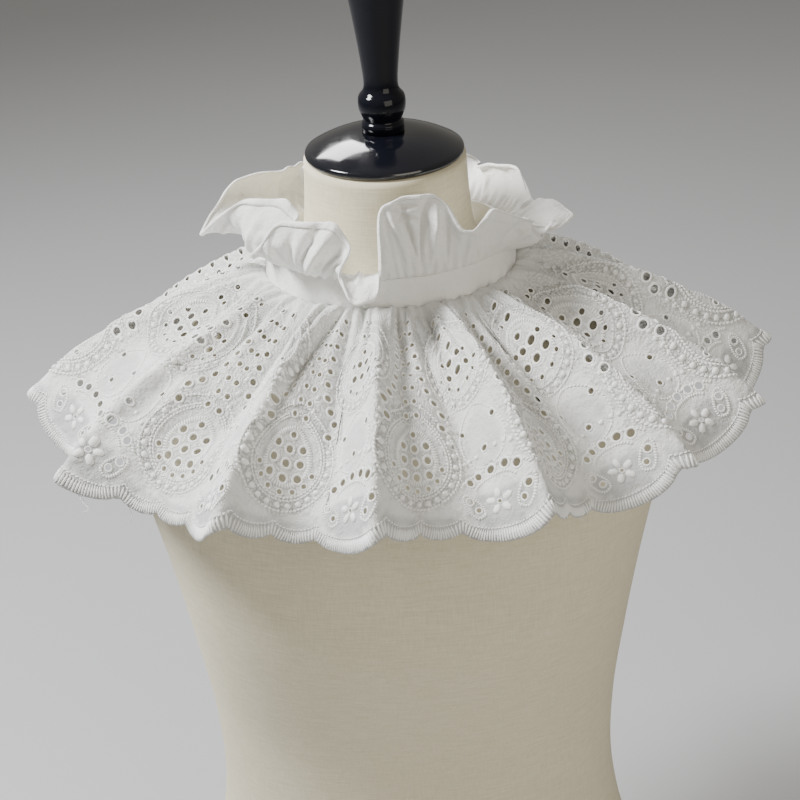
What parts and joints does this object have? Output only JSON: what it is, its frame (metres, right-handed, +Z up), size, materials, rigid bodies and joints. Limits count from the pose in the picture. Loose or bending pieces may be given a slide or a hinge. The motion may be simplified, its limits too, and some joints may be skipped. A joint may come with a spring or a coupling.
{
  "type": "detachable ruffled eyelet cape collar on a limbless dress form",
  "caption": "Detachable white eyelet cape collar with scalloped hem and standing neck ruffle, on a limbless dress form.",
  "frame": {"origin": "middle of the dress form's flat base", "axes": "+Z up, -Y the centre front, +X the viewer's right when facing the front"},
  "size_m": [0.5004, 0.4447, 0.8376],
  "materials": {
    "eyelet_cotton": "matt white cotton voile with satin-stitched eyelets",
    "plain_cotton": "matt plain-woven white cotton",
    "button": "pearly white",
    "linen": "matt cream linen, tightly covered",
    "gloss_black": "high gloss black"
  },
  "bodies": {
    "root": {"cape_front": "eyelet_cotton", "cape_back_left": "eyelet_cotton", "cape_back_right": "eyelet_cotton", "neck_ruffle": "plain_cotton", "neck_band": "plain_cotton", "band_button": "button", "dress_form": "linen", "neck_cap": "gloss_black", "neck_finial": "gloss_black"}
  },
  "joints": []
}
